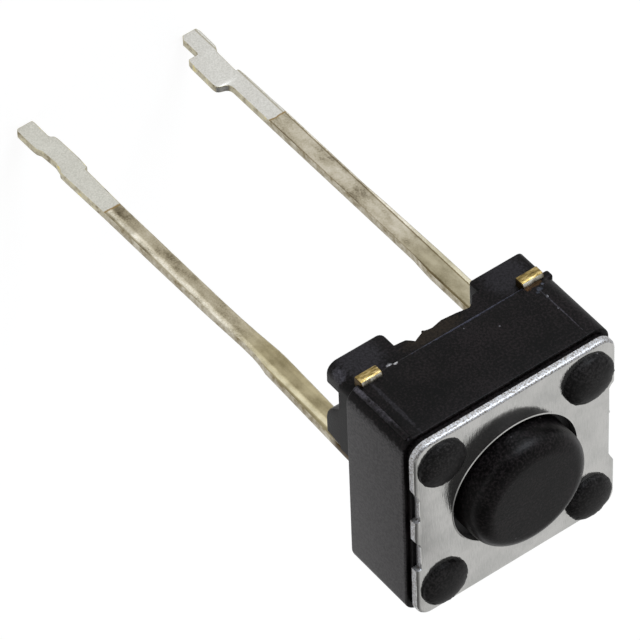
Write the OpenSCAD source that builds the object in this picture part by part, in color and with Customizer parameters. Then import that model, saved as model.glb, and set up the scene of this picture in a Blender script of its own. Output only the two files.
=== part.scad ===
// Light touch switch: a six millimetre square push button with two long leads.
// The base is moulded around both terminals. The cover plate lies on the base
// and is held by four posts that are melted over it. The button slides down
// through the plate and snaps the dome inside onto the centre contact.
// Origin: centre of the plane that the feet stand on. +Z is towards the button.
// +X runs from the left lead to the right one, +Y is the side with the cut tabs.

/* [Base] */
// width of the square base
body_w = 6; // [5:0.1:8]
// radius of the base's upright corners
body_corner = 0.45; // [0.2:0.05:0.8]
// height of the base's upper face, which the plate lies on
base_top = 3.25; // [2.8:0.05:5]
// height of the stepped-in rim under the plate
rim_h = 0.13; // [0.05:0.01:0.3]
// how far the rim steps in from the sides
rim_inset = 0.12; // [0.05:0.01:0.3]
// height of the parting line, where the lower part steps in
parting_z = 1; // [0.8:0.05:1.4]
// how far the lower part steps in from the sides
lower_inset = 0.12; // [0.08:0.01:0.2]
// how far the lower part sits off centre, towards the left
lower_shift = 0.06; // [0:0.01:0.07]
// how much further the lower part steps in beyond the leads
lower_step = 0.4; // [0.2:0.05:0.6]
// height of the underside between the feet
underside_z = 0.55; // [0.4:0.05:0.75]

/* [Feet] */
// length of the left foot on the tab side
left_foot_w = 1.72; // [1:0.02:2]
// depth of the left foot
left_foot_d = 0.6; // [0.4:0.05:0.8]
// length of the right foot on the tab side
right_foot_w = 1.5; // [1:0.02:2]
// depth of the right foot
right_foot_d = 0.78; // [0.4:0.02:0.9]
// rounding of each foot's lower inner edge
foot_round = 0.13; // [0.05:0.01:0.2]
// length of the plain foot on the opposite side
rear_foot_w = 3.2; // [2:0.1:4]
// corner radius of the plain foot
rear_foot_corner = 0.2; // [0.1:0.05:0.24]

/* [Lead guards] */
// thickness of the two guards beside the leads
guard_t = 0.32; // [0.2:0.02:0.4]
// length of each guard towards the tab side
guard_len = 1.56; // [1:0.02:1.8]
// gap between each guard and the lead's broad face
guard_gap = 0.13; // [0.05:0.01:0.3]

/* [Cavity] */
// thinnest wall between the round cavity and the base's sides
cavity_wall = 0.7; // [0.6:0.05:1]

/* [Posts] */
// distance from the base's sides to the post centres
post_inset = 0.9; // [0.8:0.05:1]
// radius of the posts
post_r = 0.42; // [0.3:0.02:0.5]
// radius of the melted heads
head_r = 0.64; // [0.55:0.01:0.75]
// height of the melted heads above the plate
head_h = 0.27; // [0.15:0.01:0.4]
// height of the heads' upright edge
head_edge = 0.06; // [0.03:0.01:0.12]

/* [Cover plate] */
// how far the plate's edges lie inside the base's sides
plate_inset = 0.08; // [0.04:0.01:0.1]
// thickness of the plate
plate_t = 0.2; // [0.1:0.05:0.4]
// radius of the plate's corners
plate_corner = 0.45; // [0.2:0.05:0.8]
// gap around the button in its hole
button_gap = 0.17; // [0.08:0.01:0.2]
// gap around each post in its hole
post_gap = 0.03; // [0.01:0.01:0.08]
// depth of the notches in the plate's edges
notch_d = 0.13; // [0.05:0.01:0.2]
// width of the tab left between the two notches
notch_tab_w = 0.66; // [0.4:0.02:1]
// how far that tab sits off centre, towards the tab side
notch_tab_y = 0.12; // [0:0.02:0.3]
// full length of each of the two notches
notch_w = 1.06; // [0.7:0.02:1.2]
// length of the notches' sloped ends
notch_slope = 0.32; // [0.1:0.02:0.4]
// full length of the single wide notch in the other edge
wide_notch_w = 2.9; // [2:0.1:3.4]

/* [Button] */
// height of the button's top above the plate
button_rise = 0.8; // [0.5:0.05:1.2]
// rounding of the button's top edge
button_round = 0.46; // [0.2:0.02:0.48]
// gap between the flange under the plate and the cavity's wall
flange_gap = 0.15; // [0.08:0.01:0.2]
// how far the flange stands out around the button
flange_lip = 0.5; // [0.35:0.01:0.55]
// thickness of the flange
flange_t = 0.5; // [0.3:0.05:0.8]
// radius of the hub under the flange
hub_r = 1.1; // [0.8:0.05:1.4]
// radius of the nub that presses the dome
nub_r = 0.45; // [0.3:0.05:0.6]
// height of the nub below the hub
nub_h = 0.7; // [0.3:0.05:0.8]

/* [Dome] */
// gap between the dome's rim and the cavity's wall
dome_gap = 0.35; // [0.2:0.05:0.6]
// height of the dome's top above the contacts
dome_h = 0.4; // [0.3:0.02:0.5]
// thickness of the dome
dome_t = 0.06; // [0.05:0.01:0.1]

/* [Terminals] */
// thickness of the terminal sheet
sheet_t = 0.2; // [0.15:0.01:0.3]
// height of the terminal sheet's upper face
sheet_top = 1.12; // [1.05:0.01:1.3]
// distance from the base's sides to the centre line of each lead
lead_inset = 0.5; // [0.4:0.05:0.6]
// distance from the base's left side to the centre line of the left tab end
left_tab_inset = 0.6; // [0.5:0.02:0.7]
// distance from the base's right side to the centre line of the right tab end
right_tab_inset = 0.64; // [0.5:0.02:0.7]
// width of the tab ends
tab_w = 0.62; // [0.4:0.02:0.8]
// how far the tab ends stand out from the base's side
tab_out = 0.17; // [0.05:0.01:0.3]
// how much lower the right terminal's strip lies
right_drop = 0.12; // [0.02:0.01:0.14]
// position of the leads' broad face, measured towards the tab side
lead_face_y = 0.37; // [0.1:0.01:0.5]
// height of the right lead's lower end, below the seat
lead_end_z = -12.76; // [-14:0.05:-5]
// how much shorter the left lead is
left_short = 0.07; // [0:0.01:0.3]
// width of the leads next to the base
root_w = 0.64; // [0.5:0.02:0.7]
// height at which the wide root of each lead ends
root_end_z = -3; // [-4:0.05:-1]
// length over which the root narrows to the middle stretch
root_taper = 0.45; // [0.2:0.05:1]
// width of the long middle stretch of each lead
lead_w = 0.5; // [0.4:0.02:0.6]
// length of the flat end stretch of each lead
end_len = 3.65; // [2:0.05:4]
// width of the flat end stretch
end_w = 0.52; // [0.4:0.01:0.6]
// width of the narrow tip
tip_w = 0.47; // [0.3:0.01:0.5]
// length of the narrow tip
tip_len = 0.74; // [0.4:0.02:1.2]
// length of the stepped stretch above the left tip
step_len = 1.4; // [1:0.05:1.8]
// depth of the steps above the tips
step_d = 0.08; // [0.04:0.01:0.12]
// length of the right lead's ear
ear_len = 1.22; // [0.8:0.02:1.6]
// how far the right lead's ear stands out sideways
ear_out = 0.31; // [0.1:0.01:0.4]
// radius of the centre contact
contact_r = 0.5; // [0.3:0.05:0.7]

/* [Hidden] */
$fn = 48;
eps = 0.02;
body_h2 = body_w / 2;
lower_h2 = body_h2 - lower_inset;
lower_corner = max(body_corner - lower_inset, 0.1);
rim_h2 = body_h2 - rim_inset;
rim_corner = max(body_corner - rim_inset, 0.1);
plate_h2 = body_h2 - plate_inset;
plate_top = base_top + plate_t;
post_x = body_h2 - post_inset;
cavity_r = body_h2 - cavity_wall;
flange_r = cavity_r - flange_gap;
button_r = flange_r - flange_lip;
hole_r = button_r + button_gap;
dome_r = cavity_r - dome_gap;
sheet_bottom = sheet_top - sheet_t;
cavity_floor = sheet_top;
lead_x = body_h2 - lead_inset;
left_tab_x = left_tab_inset - body_h2;
right_tab_x = body_h2 - right_tab_inset;
left_outer = -lower_h2 - lower_shift;
right_outer = lower_h2 - lower_shift;
left_foot_in = left_outer + left_foot_w;
right_foot_in = right_outer - right_foot_w;
lead_back_y = lead_face_y - sheet_t;
tab_y = body_h2 + tab_out;
strip_w = 0.5;
tab_run = 0.8;
jog_run = 0.6;
jog_y1 = body_h2 - tab_run;
jog_y0 = jog_y1 - jog_run;
flange_clear = 0.02;
flange_top = base_top - flange_clear;
flange_bottom = flange_top - flange_t;
dome_top = cavity_floor + dome_h;
nub_bottom = dome_top;
hub_bottom = nub_bottom + nub_h;
ring_w = 0.67;
ring_inset = 0.18;
ring_out = cavity_r - ring_inset;
ring_in = ring_out - ring_w;
ring_gap = 0.7;
bridge_w = 0.9;
arm_y = 0.25;
arm_t = 0.12;
pad_rim = 0.15;
contact_h = 0.07;
contact_taper = 0.1;
rear_foot_d = 0.5;
guard_y = lead_face_y + guard_gap;
lead_wall_y = guard_y - 0.02;
bed_d = 1.63;
bed_top = parting_z - 0.1;
tip_round = 0.08;

// points of a quarter circle, from angle a0, around (cx, cy)
function corner_points(cx, cy, r, a0) =
    [for (i = [0 : 6]) [cx + r * cos(a0 + i * 15), cy + r * sin(a0 + i * 15)]];

// outline of a rounded rectangle between two corners
function rounded_outline(x0, y0, x1, y1, r) = concat(
    corner_points(x1 - r, y1 - r, r, 0),
    corner_points(x0 + r, y1 - r, r, 90),
    corner_points(x0 + r, y0 + r, r, 180),
    corner_points(x1 - r, y0 + r, r, 270)
);

// upright block with rounded corners
module rounded_block(x0, y0, x1, y1, z0, z1, r) {
    translate([0, 0, z0])
        linear_extrude(height = z1 - z0)
            polygon(rounded_outline(x0, y0, x1, y1, r));
}

// square block with rounded corners, centred on the button's axis
module square_block(half, z0, z1, r) {
    rounded_block(-half, -half, half, half, z0, z1, r);
}

// post with its melted head, a low dome, standing on the base's upper face
module post(x, y) {
    dome_rise = head_h - head_edge;
    translate([x, y, 0]) {
        translate([0, 0, base_top - eps])
            cylinder(h = plate_t + 2 * eps, r = post_r);
        rotate_extrude()
            polygon(concat(
                [[0, plate_top], [head_r, plate_top]],
                [for (i = [0 : 9])
                    [head_r * cos(i * 10), plate_top + head_edge + dome_rise * sin(i * 10)]]
            ));
    }
}

// one foot on the tab side, between its outer end and its inner end; the inner
// lower edge is rounded and the outer corner follows the lower part
module foot(outer, inner, depth) {
    side = outer > inner ? 1 : -1;
    intersection() {
        translate([0, lower_h2, 0])
            rotate([90, 0, 0])
                linear_extrude(height = depth)
                    polygon(concat(
                        [[outer, 0], [outer, parting_z], [inner, parting_z]],
                        [for (i = [0 : 6])
                            [inner + side * foot_round * (1 - cos(i * 15)),
                             foot_round * (1 - sin(i * 15))]]
                    ));
        translate([-lower_shift, 0, 0])
            square_block(lower_h2, -eps, parting_z + eps, lower_corner);
    }
}

// sloping guard beside a lead, standing inwards from the outer end
module guard(outer) {
    side = outer > 0 ? 1 : -1;
    translate([side > 0 ? outer - guard_t : outer, guard_y, 0])
        rotate([90, 0, 90])
            linear_extrude(height = guard_t)
                polygon([
                    [0, parting_z],
                    [0.11 * guard_len, 0],
                    [0.58 * guard_len, 0.05],
                    [0.74 * guard_len, 0.56 * underside_z],
                    [guard_len, 1.2 * underside_z],
                    [guard_len, parting_z]
                ]);
}

// uneven underside between the feet, from the left foot to the right one;
// each row gives the part of the way and the height over the underside
module underside_bed() {
    rows = [
        [-0.07, -0.03], [0.06, 0], [0.11, 0.02], [0.15, 0.08], [0.18, 0.16], [0.25, 0.13],
        [0.33, 0.07], [0.4, 0.08], [0.52, 0.01], [0.68, 0.05], [0.81, 0.11], [0.87, 0.03],
        [0.93, -0.15], [1.03, -0.19]
    ];
    way = right_foot_in - left_foot_in;
    last = len(rows) - 1;
    translate([0, lower_h2, 0])
        rotate([90, 0, 0])
            linear_extrude(height = bed_d)
                polygon(concat(
                    [for (row = rows) [left_foot_in + row[0] * way, underside_z + row[1]]],
                    [[left_foot_in + rows[last][0] * way, bed_top],
                     [left_foot_in + rows[0][0] * way, bed_top]]
                ));
}

// lower part: full width beside the leads, narrower beyond them
module lower_part() {
    difference() {
        translate([-lower_shift, 0, 0])
            square_block(lower_h2, underside_z, parting_z + eps, lower_corner);
        for (side = [-1, 1])
            translate([side * lower_h2 - lower_shift - lower_step, -body_w, 0])
                cube([2 * lower_step, body_w + lead_wall_y, parting_z]);
        translate([left_foot_in, lower_h2 - bed_d, 0])
            cube([right_foot_in - left_foot_in, body_w, bed_top - eps]);
    }
    underside_bed();
}

// material that the two terminals take up inside the moulding
module terminal_room() {
    left_metal();
    right_metal();
}

module base_solid() {
    lower_part();
    square_block(body_h2, parting_z, base_top - rim_h, body_corner);
    square_block(rim_h2, base_top - rim_h - eps, base_top, rim_corner);
    foot(left_outer, left_foot_in, left_foot_d);
    foot(right_outer, right_foot_in, right_foot_d);
    guard(left_outer);
    guard(right_outer);
    rounded_block(-rear_foot_w / 2, -lower_h2, rear_foot_w / 2, -lower_h2 + rear_foot_d,
        0, underside_z + eps, rear_foot_corner);
    for (x = [-post_x, post_x])
        for (y = [-post_x, post_x])
            post(x, y);
}

module base() {
    color("#2b2a2b")
        difference() {
            base_solid();
            translate([0, 0, cavity_floor])
                cylinder(h = base_top, r = cavity_r);
            terminal_room();
        }
}

// one notch in the plate's edge, open towards -X, from y0 up to y1; each end
// slopes over its own length
module edge_notch(y0, y1, slope0, slope1) {
    polygon([
        [-plate_h2 - 1, y0],
        [-plate_h2, y0],
        [-plate_h2 + notch_d, y0 + slope0],
        [-plate_h2 + notch_d, y1 - slope1],
        [-plate_h2, y1],
        [-plate_h2 - 1, y1]
    ]);
}

module cover_plate() {
    tab_y0 = notch_tab_y - notch_tab_w / 2;
    tab_y1 = notch_tab_y + notch_tab_w / 2;
    color("#b9b9b3")
        translate([0, 0, base_top])
            difference() {
                linear_extrude(height = plate_t)
                    difference() {
                        polygon(rounded_outline(-plate_h2, -plate_h2, plate_h2, plate_h2,
                            plate_corner));
                        edge_notch(tab_y1, tab_y1 + notch_w, eps, notch_slope);
                        edge_notch(tab_y0 - notch_w, tab_y0, eps, notch_slope);
                        mirror([1, 0])
                            edge_notch(-wide_notch_w / 2, wide_notch_w / 2,
                                notch_slope, notch_slope);
                    }
                translate([0, 0, -1])
                    cylinder(h = plate_t + 2, r = hole_r);
                for (x = [-post_x, post_x])
                    for (y = [-post_x, post_x])
                        translate([x, y, -1])
                            cylinder(h = plate_t + 2, r = post_r + post_gap);
            }
}

module button() {
    top_z = plate_top + button_rise;
    color("#2a2829")
        rotate_extrude()
            polygon(concat(
                [[0, nub_bottom], [nub_r, nub_bottom], [nub_r, hub_bottom]],
                [[hub_r, hub_bottom], [hub_r, flange_bottom], [flange_r, flange_bottom]],
                [[flange_r, flange_top], [button_r, flange_top]],
                [for (i = [0 : 8])
                    [button_r - button_round + button_round * cos(i * 11.25),
                     top_z - button_round + button_round * sin(i * 11.25)]],
                [[0, top_z]]
            ));
}

// height of the dome's underside at radius r
function dome_under(r) = cavity_floor + (dome_h - dome_t) * (1 - pow(r / dome_r, 2));

module contact_dome() {
    color("#c9c6bd")
        rotate_extrude()
            polygon(concat(
                [for (i = [0 : 8]) [dome_r * i / 8, dome_under(dome_r * i / 8)]],
                [for (i = [8 : -1 : 0]) [dome_r * i / 8, dome_under(dome_r * i / 8) + dome_t]]
            ));
}

// upright lead in the XZ plane; side is -1 for left, 1 for right
module lead_blade(outline) {
    translate([0, lead_face_y, 0])
        rotate([90, 0, 0])
            linear_extrude(height = sheet_t)
                polygon(outline);
}

// strip from the cut tab end at x1 to the bend above the lead at x0
module terminal_strip(x0, x1) {
    linear_extrude(height = sheet_t)
        polygon([
            [x1 - tab_w / 2, tab_y],
            [x1 - tab_w / 2, jog_y1],
            [x0 - strip_w / 2, jog_y0],
            [x0 - strip_w / 2, lead_back_y],
            [x0 + strip_w / 2, lead_back_y],
            [x0 + strip_w / 2, jog_y0],
            [x1 + tab_w / 2, jog_y1],
            [x1 + tab_w / 2, tab_y]
        ]);
}

module left_metal() {
    z0 = lead_end_z + left_short;
    z1 = z0 + tip_len;
    z2 = z1 + step_len;
    z3 = z0 + end_len;
    e2 = end_w / 2;
    r2 = root_w / 2;
    w2 = lead_w / 2;
    translate([-lead_x, 0, 0])
        lead_blade([
            [-r2, sheet_top - eps],
            [-r2, root_end_z],
            [-w2, root_end_z - root_taper],
            [-w2, z3],
            [-e2, z3 - step_d],
            [-e2, z2 - 3 * step_d],
            [-e2 + step_d, z2 - 4 * step_d],
            [-e2 + step_d, z1 + 4 * step_d],
            [-e2, z1 + 2 * step_d],
            [-e2, z0 + tip_round],
            [-e2 + tip_round, z0],
            [-e2 + tip_w, z0],
            [-e2 + tip_w, z1],
            [e2 + step_d, z1 + step_d],
            [e2 + step_d, z2],
            [e2, z2 + eps],
            [e2, z3 - step_d],
            [w2, z3],
            [w2, root_end_z - root_taper],
            [r2, root_end_z],
            [r2, sheet_top - eps]
        ]);
    translate([0, 0, sheet_bottom])
        terminal_strip(-lead_x, left_tab_x);
    // outer contact ring, open on the right for the centre contact's arm
    translate([0, 0, sheet_bottom])
        difference() {
            cylinder(h = sheet_t, r = ring_out);
            translate([0, 0, -1])
                cylinder(h = sheet_t + 2, r = ring_in);
            translate([0, -ring_gap, -1])
                cube([body_w, 2 * ring_gap, sheet_t + 2]);
        }
    // bridge from the strip to the ring
    translate([-lead_x, lead_back_y, sheet_bottom])
        cube([lead_x - ring_out + 0.2, bridge_w, sheet_t]);
}

module right_metal() {
    z1 = lead_end_z + tip_len;
    z2 = z1 + ear_len;
    z3 = lead_end_z + end_len;
    e2 = end_w / 2;
    r2 = root_w / 2;
    w2 = lead_w / 2;
    ear = e2 + ear_out;
    translate([lead_x, 0, 0])
        lead_blade([
            [-r2, sheet_top - right_drop - eps],
            [-r2, root_end_z],
            [-w2, root_end_z - root_taper],
            [-w2, z3],
            [-e2, z3 - step_d],
            [-e2, z2 + 2 * step_d],
            [-e2 - step_d, z2 + eps],
            [-ear + step_d / 2, z2],
            [-ear, z2 - step_d / 2],
            [-ear, z1 + step_d],
            [-ear + step_d, z1],
            [e2 - tip_w, z1 - eps],
            [e2 - tip_w, lead_end_z + tip_round],
            [e2 - tip_w + tip_round, lead_end_z],
            [e2 - tip_round / 2, lead_end_z],
            [e2, lead_end_z + tip_round],
            [e2, z1],
            [e2 - step_d, z1 + 2 * step_d],
            [e2 - step_d, z2 - 2 * step_d],
            [e2, z2],
            [e2, z3 - step_d],
            [w2, z3],
            [w2, root_end_z - root_taper],
            [r2, root_end_z],
            [r2, sheet_top - right_drop - eps]
        ]);
    translate([0, 0, sheet_bottom - right_drop])
        terminal_strip(lead_x, right_tab_x);
    // thin arm to the centre contact, under a skin of the moulding
    translate([0, -arm_y, sheet_bottom])
        cube([lead_x, 2 * arm_y, arm_t]);
    // heel that joins the arm to the strip
    translate([lead_x - strip_w / 2, -arm_y, sheet_bottom - right_drop])
        cube([strip_w, arm_y + lead_face_y, arm_t + right_drop]);
    translate([0, 0, sheet_bottom])
        cylinder(h = sheet_t, r = contact_r + pad_rim);
    // raised centre contact
    translate([0, 0, sheet_top - eps])
        cylinder(h = contact_h + eps, r1 = contact_r, r2 = contact_r - contact_taper);
}

module left_terminal() {
    color("#b7b09a")
        left_metal();
}

module right_terminal() {
    color("#b7b09a")
        right_metal();
}

base();
cover_plate();
button();
contact_dome();
left_terminal();
right_terminal();
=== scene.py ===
import math

import bmesh
import bpy
from mathutils import Matrix, Vector


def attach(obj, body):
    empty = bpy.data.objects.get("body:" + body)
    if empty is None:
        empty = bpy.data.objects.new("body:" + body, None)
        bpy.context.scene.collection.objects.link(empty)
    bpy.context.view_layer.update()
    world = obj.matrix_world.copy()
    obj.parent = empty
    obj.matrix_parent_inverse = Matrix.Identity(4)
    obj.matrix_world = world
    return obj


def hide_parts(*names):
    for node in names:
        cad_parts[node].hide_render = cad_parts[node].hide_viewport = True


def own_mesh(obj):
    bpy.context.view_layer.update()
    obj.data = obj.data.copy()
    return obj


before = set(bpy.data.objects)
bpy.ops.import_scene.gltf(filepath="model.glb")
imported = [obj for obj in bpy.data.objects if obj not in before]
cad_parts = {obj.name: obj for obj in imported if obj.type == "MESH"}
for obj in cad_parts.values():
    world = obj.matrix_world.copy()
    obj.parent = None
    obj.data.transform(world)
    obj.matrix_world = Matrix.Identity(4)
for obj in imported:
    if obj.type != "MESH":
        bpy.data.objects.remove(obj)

# Light touch switch with two long leads. Pieces are drawn in millimetres and
# turned to metres when they are finished. +Z is the way that the button faces.
print("frame loaded:", ", ".join(sorted(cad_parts)))
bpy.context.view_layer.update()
scene = bpy.context.scene
smoothBelow = 32  # degrees: edges that turn less than this are shaded smooth
farOut = 4  # mm: past every face of the body, where the cutters end


def pick(piece):  # makes the piece the only one selected, in object mode
    if bpy.context.object and bpy.context.object.mode != "OBJECT":
        bpy.ops.object.mode_set(mode="OBJECT")
    bpy.ops.object.select_all(action="DESELECT")
    piece.select_set(True)
    bpy.context.view_layer.objects.active = piece


def choose(piece, kind, test):  # edit mode with the faces, edges or points that pass the test
    pick(piece)
    bpy.ops.object.mode_set(mode="EDIT")
    bpy.ops.mesh.select_mode(type=kind)
    bpy.ops.mesh.select_all(action="DESELECT")
    shape = bmesh.from_edit_mesh(piece.data)
    parts = {"FACE": shape.faces, "EDGE": shape.edges, "VERT": shape.verts}[kind]
    for part in [p for p in parts if test(p)]:
        part.select_set(True)
    bmesh.update_edit_mesh(piece.data)


def leaveEdit():
    bpy.ops.object.mode_set(mode="OBJECT")


def addBlock(name, low, high):
    bpy.ops.object.select_all(action="DESELECT")
    middle = [(a + b) / 2 for a, b in zip(low, high)]
    bpy.ops.mesh.primitive_cube_add(size=1, location=middle,
                                    scale=[b - a for a, b in zip(low, high)])
    return settle(name)


def addRound(name, radius, low, high, place=(0, 0), sides=96):
    bpy.ops.object.select_all(action="DESELECT")
    bpy.ops.mesh.primitive_cylinder_add(vertices=sides, radius=radius, depth=high - low,
                                        location=(place[0], place[1], (low + high) / 2))
    return settle(name)


def settle(name):  # puts the place and size of a new primitive into its mesh
    piece = bpy.context.object
    piece.name = piece.data.name = name
    bpy.ops.object.transform_apply(location=True, rotation=True, scale=True)
    return piece


def addProfile(name, axis, rows, span, level, shaped="Z"):
    # bar along one axis, flat at level on one side; rows of (place, height) shape the other
    along, across = "XYZ".index(axis), "XYZ".index(shaped)
    third = 3 - along - across
    low, high = [0, 0, 0], [0, 0, 0]
    low[along], high[along] = rows[0][0], rows[1][0]
    low[third], high[third] = span
    low[across], high[across] = sorted((rows[0][1], level))
    piece = addBlock(name, low, high)
    height = rows[0][1]
    for number, (place, nextHeight) in enumerate(rows[1:]):
        if number:
            choose(piece, "FACE", lambda f: f.normal[along] > 0.99)
            move = [0, 0, 0]
            move[along] = place - rows[number][0]
            bpy.ops.mesh.extrude_region_move(TRANSFORM_OT_translate={"value": move})
            leaveEdit()
        choose(piece, "VERT", lambda v: abs(v.co[along] - place) < 1e-4
               and abs(v.co[across] - level) > 1e-4)
        lift = [0, 0, 0]
        lift[across] = nextHeight - height
        bpy.ops.transform.translate(value=lift)
        leaveEdit()
        height = nextHeight
    return piece


def roundEdges(piece, test, width, steps):
    choose(piece, "EDGE", test)
    bpy.ops.mesh.bevel(offset=width, segments=steps, affect="EDGES")
    leaveEdit()


def combine(piece, tool, how):  # UNION joins the tool on, DIFFERENCE cuts it away
    pick(piece)
    step = piece.modifiers.new("combine", "BOOLEAN")
    step.operation, step.object, step.solver = how, tool, "EXACT"
    bpy.ops.object.modifier_apply(modifier=step.name)
    bpy.data.objects.remove(tool)


def isUpright(edge):
    a, b = (v.co for v in edge.verts)
    return abs(a.z - b.z) > 1e-4 and (a.xy - b.xy).length < 1e-4


def liesAt(height):
    return lambda edge: all(abs(v.co.z - height) < 1e-4 for v in edge.verts)


def softenEdges(piece, width, steps, angle, number=-1):
    # small rounding on every sharp edge, with the material of that number if one is given
    pick(piece)
    step = piece.modifiers.new("soften", "BEVEL")
    step.material = number
    step.width, step.segments, step.limit_method = width, steps, "ANGLE"
    step.angle_limit = math.radians(angle)
    bpy.ops.object.modifier_apply(modifier=step.name)


def toMetres(piece):  # from the millimetres that it was drawn in
    pick(piece)
    piece.scale = (0.001, 0.001, 0.001)
    bpy.ops.object.transform_apply(location=True, rotation=True, scale=True)


def finishPiece(piece, body, materials, replaced=None):
    toMetres(piece)
    bpy.ops.object.shade_smooth_by_angle(angle=math.radians(smoothBelow))
    for number, material in enumerate(materials):
        if number < len(piece.data.materials):
            piece.data.materials[number] = material
        else:
            piece.data.materials.append(material)
    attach(piece, body)
    if replaced:
        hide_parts(replaced)
    print("made", piece.name, len(piece.data.polygons), "faces")
    return piece


def paintFaces(piece, number, test):  # gives the faces that pass the test another material
    choose(piece, "FACE", test)
    piece.active_material_index = number
    bpy.ops.object.material_slot_assign()
    leaveEdit()


def toLinear(code):  # "#rrggbb" as the shader wants it
    parts = [int(code[i:i + 2], 16) / 255 for i in (1, 3, 5)]
    return [c / 12.92 if c <= 0.04045 else ((c + 0.055) / 1.055) ** 2.4 for c in parts] + [1]


def addNode(material, kind, settings={}, links={}):
    # a setting is a property or an input's value, and a link is input: (node, output)
    node = material.node_tree.nodes.new(kind)
    for name, value in settings.items():
        if isinstance(name, int) or name in node.inputs:
            node.inputs[name].default_value = value
        else:
            setattr(node, name, value)
    for name, (other, output) in links.items():
        material.node_tree.links.new(other.outputs[output], node.inputs[name])
    return node


def newMaterial(name):  # the material, its shader and the place on the object in metres
    material = bpy.data.materials.new(name)
    material.use_nodes = True
    shader = material.node_tree.nodes["Principled BSDF"]
    place = addNode(material, "ShaderNodeTexCoord")
    return material, shader, place


def setRamp(ramp, stops):  # stops are (position, "#rrggbb" code or plain grey value)
    elements = ramp.color_ramp.elements
    while len(elements) < len(stops):
        elements.new(0.5)
    for element, (place, code) in zip(elements, stops):
        element.position = place
        element.color = toLinear(code) if isinstance(code, str) else [code] * 3 + [1]
    return ramp


def link(material, node, output, target, socket):
    material.node_tree.links.new(node.outputs[output], target.inputs[socket])


def perMm(size):  # texture scale for a pattern that repeats about every size in mm
    return 1000 / size


def blendColours(material, factor, first, second):
    # factor is (node, output); a colour is a "#rrggbb" code or (node, output), and so
    # is what comes back
    mix = addNode(material, "ShaderNodeMix", {"data_type": "RGBA"}, {"Factor": factor})
    for socket, colour in ((6, first), (7, second)):
        if isinstance(colour, str):
            mix.inputs[socket].default_value = toLinear(colour)
        else:
            material.node_tree.links.new(colour[0].outputs[colour[1]], mix.inputs[socket])
    return mix, 2


def addGrain(material, shader, pattern, depth, strength=0.6):  # depth of the bumps in mm
    bump = addNode(material, "ShaderNodeBump",
                   {"Strength": strength, "Distance": depth / 1000},
                   {"Height": (pattern, "Fac")})
    link(material, bump, "Normal", shader, "Normal")


def spotNear(material, place, centre, radius, edge, stretch=(1, 1, 1)):
    # 1 inside a ragged spot around a place given in mm, 0 outside it; a stretch below 1
    # draws the spot out along that axis. The noise takes about half a radius off the
    # distance, so the spot fades out near its radius.
    ragged = addNode(material, "ShaderNodeTexNoise", {"Scale": perMm(edge), "Detail": 3.0},
                     {"Vector": (place, "Object")})
    away = addNode(material, "ShaderNodeMapping",
                   {"Location": [-c * s / 1000 for c, s in zip(centre, stretch)],
                    "Scale": stretch}, {"Vector": (place, "Object")})
    length = addNode(material, "ShaderNodeVectorMath", {"operation": "LENGTH"},
                     {0: (away, "Vector")})
    uneven = addNode(material, "ShaderNodeMath", {"operation": "MULTIPLY_ADD", 1: -radius / 900},
                     {0: (ragged, "Fac"), 2: (length, "Value")})
    return addNode(material, "ShaderNodeMapRange",
                   {"From Min": radius / 2500, "From Max": 0.0, "To Min": 0.0, "To Max": 1.0},
                   {"Value": (uneven, "Value")}), "Result"


def makeMouldedPlastic(name, dark, light, rough, level, spots=()):
    # injection moulded plastic, glass-filled nylon or acetal: near black and satin, with
    # a fine salty grain, a slow cloudiness and the odd speck of dust. The mould's spark
    # grain is about 0.02 mm and is drawn at 0.05 mm, so that it shows.
    material, shader, place = newMaterial(name)
    cloud = addNode(material, "ShaderNodeTexNoise", {"Scale": perMm(0.7), "Detail": 5.0},
                    {"Vector": (place, "Object")})
    salt = addNode(material, "ShaderNodeTexNoise",
                   {"Scale": perMm(0.06), "Detail": 2.0, "Roughness": 0.7},
                   {"Vector": (place, "Object")})
    both = addNode(material, "ShaderNodeMath", {"operation": "MULTIPLY_ADD", 1: 0.45},
                   {0: (cloud, "Fac"), 2: (salt, "Fac")})
    tone = setRamp(addNode(material, "ShaderNodeValToRGB", {}, {"Fac": (both, "Value")}),
                   [(0.66, dark), (0.86, light)])
    cells = addNode(material, "ShaderNodeTexVoronoi", {"Scale": perMm(0.5)},
                    {"Vector": (place, "Object")})
    speck = addNode(material, "ShaderNodeMath", {"operation": "LESS_THAN", 1: 0.05},
                    {0: (cells, "Distance")})
    some = addNode(material, "ShaderNodeSeparateColor", {}, {"Color": (cells, "Color")})
    rare = addNode(material, "ShaderNodeMath", {"operation": "GREATER_THAN", 1: 0.5},
                   {0: (some, "Red")})
    dust = addNode(material, "ShaderNodeMath", {"operation": "MULTIPLY"},
                   {0: (speck, "Value"), 1: (rare, "Value")})
    colour = blendColours(material, (dust, "Value"), (tone, "Color"), "#5f5d60")
    # each spot blends in its colour; some of the base's spots are painted light and painted
    # highlights
    for centre, radius, code, *stretch in spots:
        spot = spotNear(material, place, centre, radius, 0.08, *stretch)
        colour = blendColours(material, spot, colour, code)
    dim = setRamp(addNode(material, "ShaderNodeValToRGB", {}, {"Fac": (salt, "Fac")}),
                  [(0.4, "#b4b4b4"), (0.6, "#ffffff")])
    salted = addNode(material, "ShaderNodeVectorMath", {"operation": "MULTIPLY"},
                     {0: colour, 1: (dim, "Color")})
    link(material, salted, "Vector", shader, "Base Color")
    grain = addNode(material, "ShaderNodeTexNoise", {"Scale": perMm(0.05), "Detail": 4.0},
                    {"Vector": (place, "Object")})
    addGrain(material, shader, grain, 0.007)
    dull = addNode(material, "ShaderNodeMapRange",
                   {"To Min": rough - 0.1, "To Max": rough + 0.1}, {"Value": (salt, "Fac")})
    link(material, dull, "Result", shader, "Roughness")
    shader.inputs["IOR"].default_value = 1.5
    shader.inputs["Specular IOR Level"].default_value = level
    return material


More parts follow.
